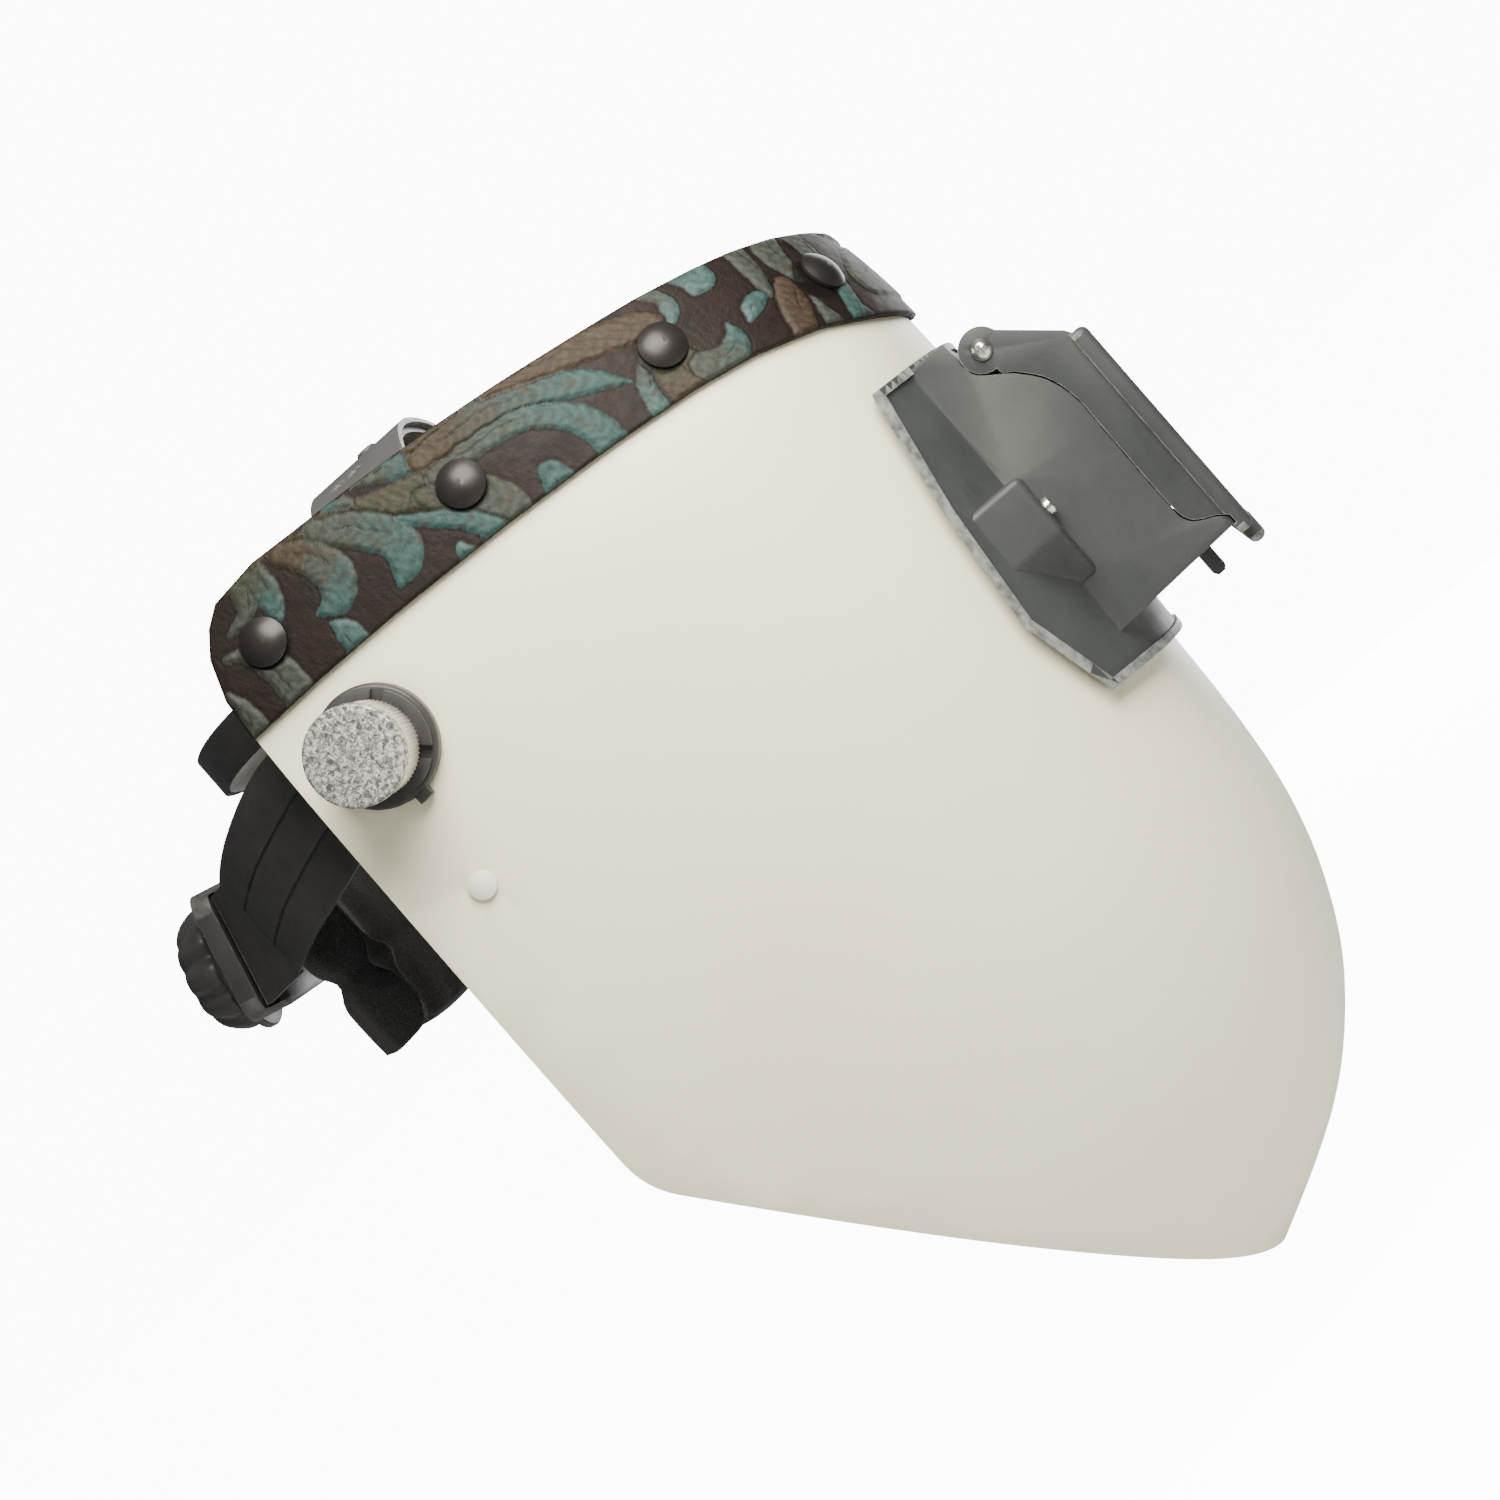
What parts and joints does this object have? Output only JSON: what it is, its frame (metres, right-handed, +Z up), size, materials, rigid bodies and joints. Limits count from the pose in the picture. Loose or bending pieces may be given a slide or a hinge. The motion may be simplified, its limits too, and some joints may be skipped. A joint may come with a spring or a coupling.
{
  "type": "welding helmet",
  "caption": "Compact face-shaped welding hood with a lift-front lens holder, leather crown band, side tilt knobs and adjustable ratchet headgear.",
  "frame": {"origin": "on the tilt axis midway between the two side knobs, inside the headband's opening where the wearer's head goes", "axes": "hood worn upright: +Z up, -Y the way the wearer looks, +X the wearer's left"},
  "size_m": [0.2788, 0.3297, 0.3497],
  "materials": {
    "gelcoat": "satin cream gel coat",
    "tooled_leather": "embossed, painted turquoise scrolls on dark brown",
    "snap_black": "gloss black",
    "steel": "bright",
    "white_paint": "cream paint",
    "black_plastic": "satin moulded",
    "grey_plastic": "satin moulded",
    "strap_grey": "satin moulded",
    "knob_aluminium": "knurled",
    "knob_face_aluminium": "coarse blasted",
    "brass": "turned",
    "rubber_black": "matte",
    "clear_plate": "clear",
    "filter_glass": "dark green",
    "pad_fabric": "brushed knit over foam"
  },
  "bodies": {
    "headgear": {"headband_front": "black_plastic", "sweatband": "pad_fabric", "rear_strap_right": "black_plastic", "rear_strap_left": "black_plastic", "rear_cradle": "black_plastic", "crown_strap_right": "strap_grey", "crown_strap_left": "strap_grey", "crown_peg": "strap_grey", "side_bracket_right": "black_plastic", "side_bracket_left": "black_plastic", "pivot_bolts": "steel", "tension_washers": "black_plastic", "ratchet_housing": "black_plastic", "ratchet_cover": "black_plastic", "nape_pad": "pad_fabric", "band_rivets": "black_plastic"},
    "ratchet": {"ratchet_knob": "black_plastic", "ratchet_pinion": "black_plastic", "ratchet_screw": "steel"},
    "hood": {"hood_shell": "gelcoat", "crown_leather": "tooled_leather", "snap_caps": "snap_black", "snap_posts": "steel", "stop_rivets": "white_paint", "stop_bumpers": "rubber_black", "pivot_ring_right": "black_plastic", "pivot_ring_left": "black_plastic", "holder_base": "grey_plastic", "holder_screws": "steel", "wedge_washers": "black_plastic", "holder_nuts": "steel", "fixed_plate": "clear_plate", "fixed_gasket": "rubber_black", "fixed_retainer": "steel", "hinge_screws": "steel"},
    "lift_front": {"lift_frame": "grey_plastic", "cover_plate": "clear_plate", "filter_plate": "filter_glass", "filter_gasket": "rubber_black", "filter_spring": "steel"},
    "washer_right": {"knob_washer_right": "steel"},
    "washer_left": {"knob_washer_left": "steel"},
    "knob_right": {"knob_body_right": "knob_aluminium", "knob_insert_right": "brass", "knob_face_right": "knob_face_aluminium"},
    "knob_left": {"knob_body_left": "knob_aluminium", "knob_insert_left": "brass", "knob_face_left": "knob_face_aluminium"}
  },
  "joints": [
    {"name": "hood_tilt", "type": "hinge", "parent": "headgear", "child": "hood", "pos_m": [0, 0, 0], "axis": [-1, 0, 0], "range_deg": [0, 85]},
    {"name": "lift_front_hinge", "type": "hinge", "parent": "hood", "child": "lift_front", "pos_m": [0, -0.1871, -0.0246], "axis": [-1, 0, 0], "range_deg": [0, 95]},
    {"name": "ratchet_turn", "type": "hinge", "parent": "headgear", "child": "ratchet", "pos_m": [0, 0.0935, -0.014], "axis": [0, 0.9703, 0.2419], "range_deg": [-270, 270]},
    {"name": "knob_travel_right", "type": "slide", "parent": "headgear", "child": "washer_right", "axis": [-1, 0, 0], "range_m": [0, 0.00254]},
    {"name": "knob_turn_right", "type": "hinge", "parent": "washer_right", "child": "knob_right", "pos_m": [0, 0, 0], "axis": [-1, 0, 0], "range_deg": [0, 720]},
    {"name": "knob_travel_left", "type": "slide", "parent": "headgear", "child": "washer_left", "axis": [1, 0, 0], "range_m": [0, 0.00254]},
    {"name": "knob_turn_left", "type": "hinge", "parent": "washer_left", "child": "knob_left", "pos_m": [0, 0, 0], "axis": [1, 0, 0], "range_deg": [0, 720]}
  ],
  "couplings": [
    {"joint": "knob_turn_right", "follows": "knob_travel_right", "rad_per_m": 4947.4},
    {"joint": "knob_turn_left", "follows": "knob_travel_left", "rad_per_m": 4947.4}
  ]
}
